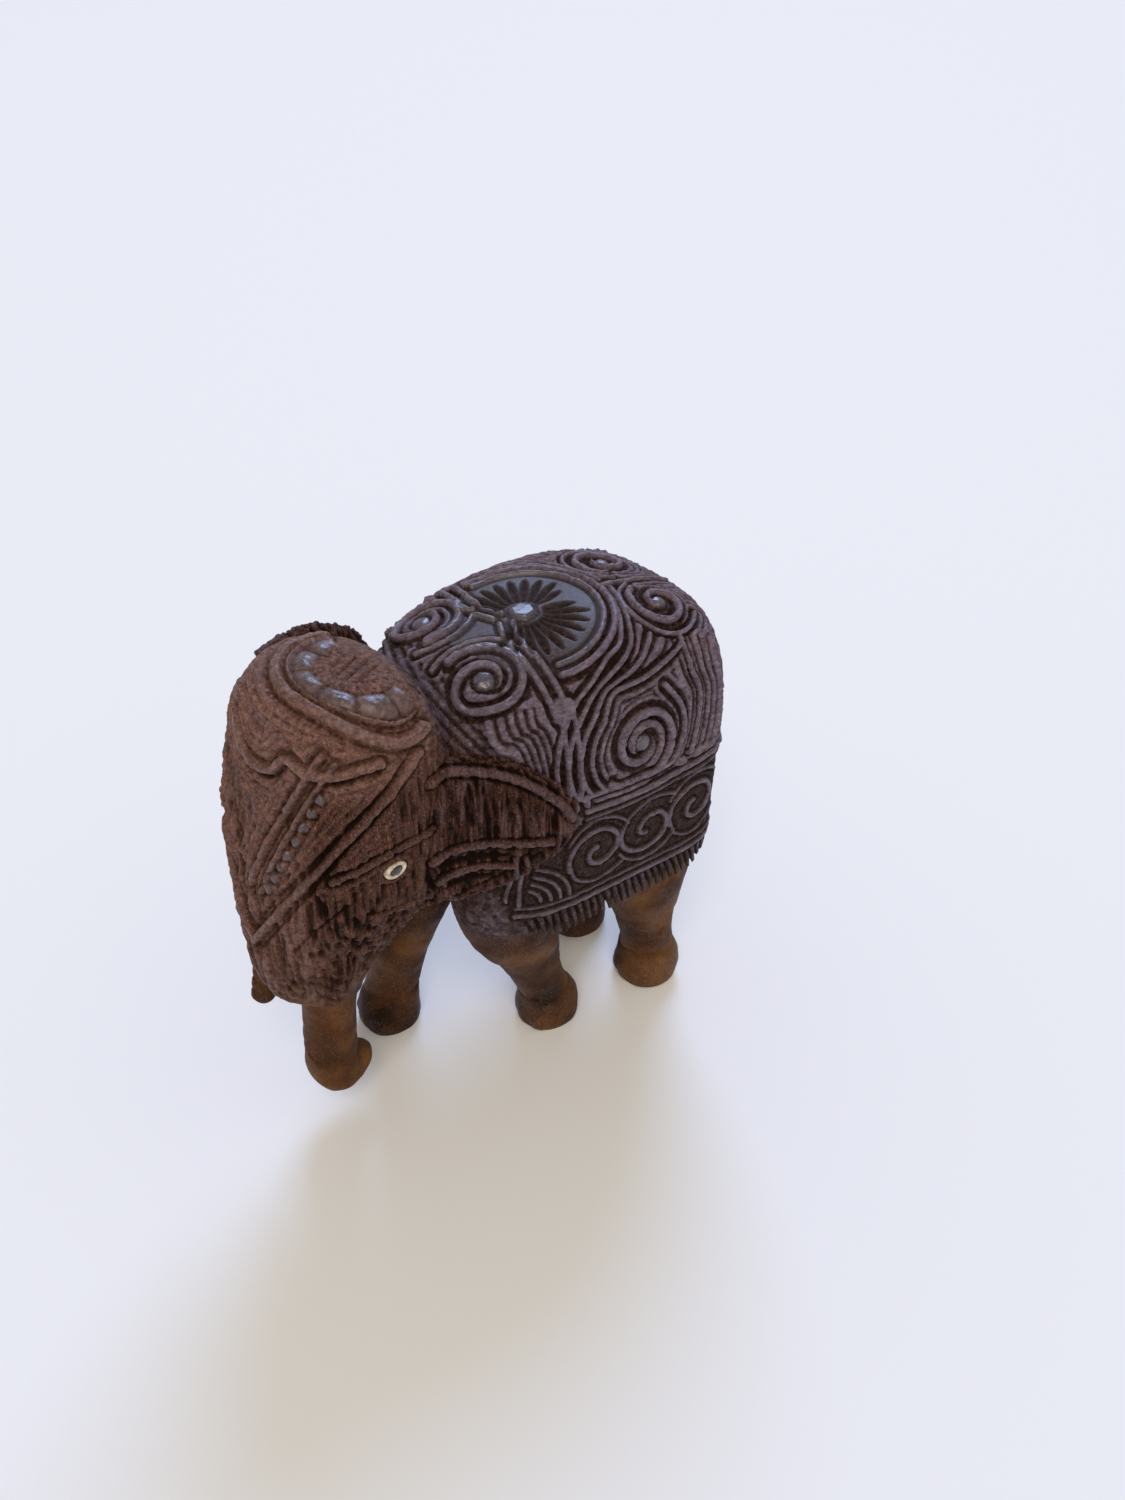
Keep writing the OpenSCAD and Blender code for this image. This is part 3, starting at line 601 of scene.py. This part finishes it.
# deep gouges in the cheek and ear painted almost black: painted shade in the tool cuts
c2 = mix(nt, math_(nt, "MULTIPLY", cheek, ramp(nt, cav, [(.42, (0,0,0)), (.80, (.92,)*3)])), c2, (.006,.0025,.0015))
c3 = mix(nt, plain, c2, olive)
c3 = mix(nt, math_(nt, "MULTIPLY", dark, .55), c3, (.020,.011,.009))
pores = ramp(nt, noise(mapped(1.5, .22, 1.5), 2.6, 2, .5), [(.33, (.25,.22,.21)), (.41, (1,1,1))])
c4 = mix(nt, .8, c3, pores, "MULTIPLY")
c5 = mix(nt, math_(nt, "MULTIPLY", math_(nt, "SUBTRACT", 1.0, pol_and_sheen), math_(nt, "MULTIPLY", math_(nt, "MULTIPLY", math_(nt, "SUBTRACT", 1.15, math_(nt, "MULTIPLY", cav, 1.3)), ramp(nt, speck, [(.54, (0,0,0)), (.66, (1,1,1))])), .60)), c4, (.33,.25,.255))
nt.links.new(c5, bs.inputs["Base Color"])
rough = math_(nt, "ADD", ramp(nt, cav, [(.15, (.40,)*3), (.45, (.56,)*3), (.75, (.86,)*3)]), math_(nt, "MULTIPLY", math_(nt, "SUBTRACT", dustn, .5), .35))
rough = math_(nt, "SUBTRACT", rough, math_(nt, "MULTIPLY", pol_and_sheen, .15))
nt.links.new(rough, bs.inputs["Roughness"])
nt.links.new(math_(nt, "ADD", .10, math_(nt, "MULTIPLY", pol_and_sheen, .75)), bs.inputs["Specular IOR Level"])
hsum = math_(nt, "ADD", math_(nt, "MULTIPLY", grain, .5), math_(nt, "ADD", math_(nt, "MULTIPLY", math_(nt, "MULTIPLY", speck, .8), math_(nt, "SUBTRACT", 1.0, math_(nt, "MULTIPLY", pol_and_sheen, .8))), math_(nt, "MULTIPLY", math_(nt, "MULTIPLY", streak, cheek), 1.1)))
bp = node(nt, "ShaderNodeBump", Strength=.6, Distance=.00035); nt.links.new(hsum, bp.inputs["Height"]); nt.links.new(bp.outputs[0], bs.inputs["Normal"])
body.data.materials.clear(); body.data.materials.append(wood)

def small(name, lo_c, hi_c, rgh, coat):
    m, t, b = new_mat(name)
    n = node(t, "ShaderNodeTexNoise", Scale=900.0, Detail=5.0); tcn = t.nodes.new("ShaderNodeTexCoord"); t.links.new(tcn.outputs["Object"], n.inputs["Vector"])
    t.links.new(ramp(t, n.outputs["Fac"], [(.35, lo_c), (.65, hi_c)]), b.inputs["Base Color"])
    r = ramp(t, n.outputs["Fac"], [(.3, (rgh,)*3), (.7, (rgh+.15,)*3)]); t.links.new(r, b.inputs["Roughness"])
    b.inputs["Coat Weight"].default_value = coat
    u = node(t, "ShaderNodeBump", Strength=.25, Distance=.0001); t.links.new(n.outputs["Fac"], u.inputs["Height"]); t.links.new(u.outputs[0], b.inputs["Normal"])
    return m
bone = small("bone_inlay", (.42,.31,.20), (.78,.70,.54), .35, .1)
black = small("pupil_dark", (.010,.014,.010), (.035,.045,.032), .18, .5)
for ring, pup in eyes:
    ring.data.materials.append(bone); pup.data.materials.append(black)

# ---------------------------------------------------------------- stage, light, camera
fl = bpy.data.meshes.new("floor"); fl.from_pydata([(-60,-60,0),(60,-60,0),(60,60,0),(-60,60,0)], [], [(0,1,2,3)])
floor = bpy.data.objects.new("floor", fl); bpy.context.scene.collection.objects.link(floor)
fm, ft, fb = new_mat("floor_pale"); fb.inputs["Base Color"].default_value = (.90,.90,.90,1); fb.inputs["Roughness"].default_value = .9
floor.data.materials.append(fm)
wd = bpy.data.worlds.new("studio"); bpy.context.scene.world = wd; wd.use_nodes = True
wd.node_tree.nodes["Background"].inputs[0].default_value = (1,.97,.93,1); wd.node_tree.nodes["Background"].inputs[1].default_value = .42
def sun(name, loc, spread, power, col):
    l = bpy.data.lights.new(name, "SUN"); l.angle = math.radians(spread); l.energy = power; l.color = col
    o = bpy.data.objects.new(name, l); o.location = loc; bpy.context.scene.collection.objects.link(o)
    o.rotation_euler = (-Vector(loc)).to_track_quat("-Z", "Y").to_euler()
sun("window", (-.55, .50, .72), 26, 1.8, (.44,.60,1))
sun("lamp", (.62, -.42, .82), 32, 1.35, (1,.88,.72))
bpy.context.scene.view_settings.view_transform = "Standard"

AZ, EL = math.radians(54), math.radians(34.5)
D = Vector((math.sin(AZ)*math.cos(EL), -math.cos(AZ)*math.cos(EL), math.sin(EL)))
R = (-D).cross(Vector((0,0,1))).normalized(); U = R.cross(-D)
cd = bpy.data.cameras.new("cam"); cam = bpy.data.objects.new("cam", cd); bpy.context.scene.collection.objects.link(cam)
rot = Matrix((R, U, D)).transposed()
cam.matrix_world = Matrix.Translation(Vector((.21524, -.12562, .26963))) @ rot.to_4x4()
cd.sensor_width = 36; cd.lens = 27.05; cd.clip_start = .01
bpy.context.scene.camera = cam
